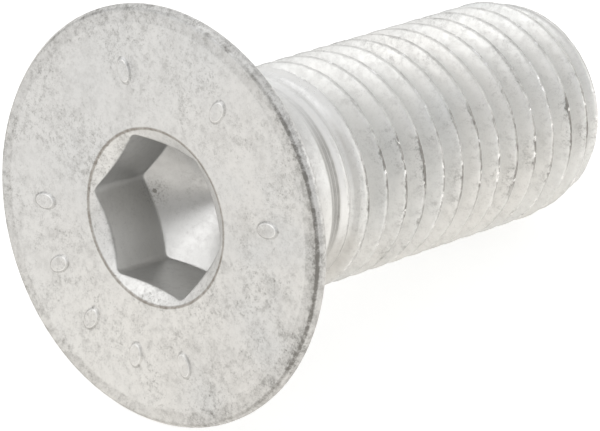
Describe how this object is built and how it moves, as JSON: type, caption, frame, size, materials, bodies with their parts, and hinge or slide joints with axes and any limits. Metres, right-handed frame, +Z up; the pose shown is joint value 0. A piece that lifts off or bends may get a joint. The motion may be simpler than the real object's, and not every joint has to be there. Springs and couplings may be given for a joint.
{
  "type": "countersunk socket screw",
  "caption": "Short thick steel machine screw with a flat countersunk head, a hexagon socket, a stepped neck and a coarse right-hand metric thread, lying on its side.",
  "frame": {"origin": "on the surface that the screw lies on, under the middle of its bounding box", "axes": "+X along the screw as it lies, from the head towards the threaded end; +Y across it; +Z up. The screw's own axis dips about 10.7 degrees from +X towards -Z, because its head is wider than its thread"},
  "size_m": [0.043, 0.029, 0.0286],
  "materials": {
    "zinc_flake_steel": "dull silvery grey zinc flake coating, satin, with fine dark speckles and worn edges"
  },
  "bodies": {
    "root": {"countersunk_screw": "zinc_flake_steel"}
  },
  "joints": []
}
